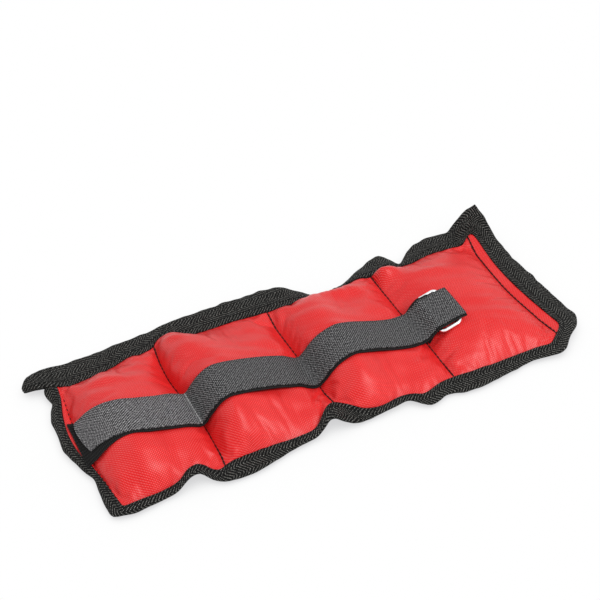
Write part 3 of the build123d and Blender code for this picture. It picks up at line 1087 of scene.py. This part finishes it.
def thread(name, low, high):
    """Twisted thread, between two greys."""
    material, where = on_object(name)
    twist = make("TexWave", {"Vector": where, "Scale": 900.0, "Distortion": 1.0}).outputs[1]
    colour = mix(twist, (low,) * 3, (high,) * 3)
    return finish_surface(material, colour, scaled(twist, 0.2, 0.45), twist, 0.05, 0.1)


def ring_metal():
    """Polished plated wire with faint rubbing marks."""
    material, where = on_object("ring_metal")
    rub = grain(where, 900.0, 4.0)
    colour = mix(rub, (0.80, 0.81, 0.83), (0.95, 0.95, 0.96))
    return finish_surface(material, colour, scaled(rub, 0.14, 0.10), rub, 0.01, metallic=1.0)


# ---- the floor, lamps and camera
FLOOR_REACH = 3000  # from its middle to each side


def seen_by(tree):
    """The light path's outputs, and 1 where the ray is the camera's, glossy or transmitted."""
    ray = make("LightPath", {}, tree).outputs
    bent = maths("MAXIMUM", ray["Is Glossy Ray"], ray["Is Transmission Ray"])
    return ray, maths("MAXIMUM", ray["Is Camera Ray"], bent)


def choose(factor, a, b):
    """The output of shader node a where factor is 0, and of b where it is 1."""
    return make("MixShader", {0: factor, 1: a.outputs[0], 2: b.outputs[0]})


def floor():
    """A white floor that keeps the object's soft shadow and lets folded-down parts show."""
    material = new_material("floor")
    tree = material.node_tree
    ray, seen = seen_by(tree)
    shade = make("AmbientOcclusion", {"Distance": 0.05}, tree, samples=16).outputs["AO"]
    tint = mix(step(shade, 0.0, 1.0), (0.62, 0.62, 0.63), (1.0, 1.0, 1.0))
    clear = make("BsdfTransparent", {"Color": tint})
    open_way = make("BsdfTransparent", {}, tree)
    solid = make("BsdfDiffuse", {"Color": (0.9, 0.9, 0.9, 1.0)}, tree)
    both = choose(ray["Is Shadow Ray"], choose(seen, solid, clear), open_way)
    make("OutputMaterial", {"Surface": both.outputs[0]})
    obj = plate("floor", [-FLOOR_REACH] * 2, [FLOOR_REACH] * 2, 0)
    obj.data.materials.append(material)


def lamp(name, place, size, watts):
    light = bpy.data.lights.new(name, "AREA")
    light.energy, light.size = watts, size
    add_object(name, light, place, -Vector(place))


AMBIENT = 0.5  # strength of the sky's light on the object


def world():
    """White to the camera and in reflections, and a plain soft light on the object."""
    sky = bpy.data.worlds.new("studio")
    bpy.context.scene.world = sky
    sky.use_nodes = True
    tree = sky.node_tree
    tree.nodes.clear()
    soft, white = (make("Background", {"Color": (1, 1, 1, 1), "Strength": strength}, tree)
                   for strength in (AMBIENT, 1.0))
    make("OutputWorld", {"Surface": choose(seen_by(tree)[1], soft, white).outputs[0]})


CAMERA_PLACE = (-0.2308, -0.4372, 0.5069)  # solved from the photo, with its two angles
CAMERA_DOWN, CAMERA_TURN = radians(42.84), radians(62.88)
CAMERA_LENS = 74.03


def camera():
    data = bpy.data.cameras.new("camera")
    data.lens, data.sensor_width = CAMERA_LENS, 36.0
    data.clip_start = 0.01
    look = Vector((cos(CAMERA_DOWN) * cos(CAMERA_TURN), cos(CAMERA_DOWN) * sin(CAMERA_TURN),
                   -sin(CAMERA_DOWN)))
    bpy.context.scene.camera = add_object("camera", data, CAMERA_PLACE, look)


# ---- putting it together
def numbered(names, *numbers):
    """Every name with every number, as the CAD's nodes are called."""
    return [f"{name}_{n}" for name in names.split() for n in numbers]


def across_fold(obj):
    """Bakes a piece's placement into its mesh."""
    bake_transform(obj)


def dress(obj, material, slot, replaced=(), body=None):
    """A piece's material, slot and the nodes that it replaces, and the body that it rides. slot is
    not used.
    """
    if body:
        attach(obj, body)
    obj.data.materials.append(material)
    if replaced:
        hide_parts(*replaced)


def panels(nylon, twill, dark):
    """Cover, binding and fold-line stitches, each in three lengths. Returns the whole cover."""
    whole, covers = cover_pieces()
    bindings, edge_rows = binding_pieces(BVHTree.FromPolygons(*whole))
    for i, letter in enumerate("abc"):
        a, b, pair = f"panel_{i + 1}", f"panel_{i + 2}", (i + 1, i + 2)
        seam = pocket_border(i)[3]
        row = stitches(f"fold_thread_{letter}", [seam + [0, 0, 0.45]], under=[seam - [0, 0, 0.45]])
        for obj in (covers[i], bindings[i], edge_rows[i], row):
            across_fold(obj)
        dress(covers[i], nylon, "red_nylon", numbered("cover lining inner_bag iron_sand", *pair))
        ends = {0: ["binding_left", "binding_tail"], 2: ["binding_right"]}.get(i, [])
        dress(bindings[i], twill, "black_binding",
              numbered("binding_far binding_near", *pair) + ends)
        dress(edge_rows[i], dark, "black_thread")
        dress(row, dark, "black_thread", [f"fold_stitches_{letter}"])
    return whole


def closed_ends(nylon, dark):
    """The strips of cloth past both closing seams, and the stitches along those seams."""
    closing, inner, outer = closing_line()
    end = pocket_border(3)[3]
    right_edges = [by_y(points, end[:, 1]) for points in (RIGHT_INNER, RIGHT_OUTER)]
    dress(hem("hem_left", closing, under_tape(inner, outer)), nylon, "red_nylon", body="panel_1")
    dress(hem("hem_right", end, under_tape(*right_edges)), nylon, "red_nylon", body="panel_4")
    root_near, root_far = (STRAP_Y + ROOT_SHIFT + side * STRAP_WIDTH / 2 for side in (-1, 1))
    y = closing[:, 1]
    beside = [closing[y < root_near - wing(0)], closing[(y > root_far + ROOT_SPREAD) & (y < 32)]]
    row = stitches("closing_thread_left", [line + [0, 0, 0.35] for line in beside],
                   pitch=2.6, length=1.7, thick=0.5, under=[closing - [0, 0, 0.45]])
    dress(row, dark, "black_thread", ["closing_stitches_left"], body="panel_1")
    row = stitches("closing_thread_right", [end + [0, 0, 0.55]], under=[end - [0, 0, 0.55]])
    dress(row, dark, "black_thread", ["closing_stitches_right"], body="panel_4")


def fastening(whole, tape, web, dark, light):
    """The ring with its tab, and the strap that lies over them and the cover."""
    tab = ring_tab(BVHTree.FromPolygons(*whole))
    dress(tab, web, "black_webbing", ["ring_tab"], body="panel_4")
    ring = frame["nodes"]["ring"]
    ring.data.materials.clear()
    ring.data.materials.append(ring_metal())
    verts, faces = (list(part) for part in whole)
    for mesh in (tab.data, ring.data):
        faces += [tuple(i + len(verts) for i in p.vertices) for p in mesh.polygons]
        verts += (fetch(mesh.vertices, "co") / MM).tolist()
    frame_of = strap_frame(BVHTree.FromPolygons(verts, faces))
    looks = {"back": (web, "black_webbing"), "face": (tape, "grey_loop_tape")}
    for layer, n, obj in strap_pieces(frame_of):
        if n == 0:
            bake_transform(obj)
        else:
            across_fold(obj)
        root = ["strap_root"] if (layer, n) == ("back", 0) else []
        dress(obj, *looks[layer], numbered(f"strap_{layer}", *([n, n + 1] if n else [1])) + root)
    seam = strap_seam(frame_of)
    across_fold(seam)
    dress(seam, light, "grey_loop_tape")
    x, y, z = frame_of[0][0]
    line = np.array([(x + 1.3, y + w, z + LAYER + 0.1) for w in np.linspace(-11.5, 11.5, 20)])
    row = stitches("strap_root_thread", [line], pitch=2.4, length=2.0, thick=0.6)
    dress(row, dark, "black_thread", ["strap_root_stitches"], body="panel_1")


def assemble():
    nylon, dark = red_nylon(), thread("black_thread", 0.004, 0.02)
    whole = panels(nylon, black_binding(), dark)
    closed_ends(nylon, dark)
    fastening(whole, strap_face(), webbing(), dark, thread("light_thread", 0.32, 0.6))


assemble()
floor()
world()
lamp("key", (0.45, -0.80, 1.34), 0.5, 15.0)
lamp("fill", (-0.8, 0.4, 1.2), 0.9, 3.0)
camera()
bpy.context.scene.view_settings.view_transform = "Standard"
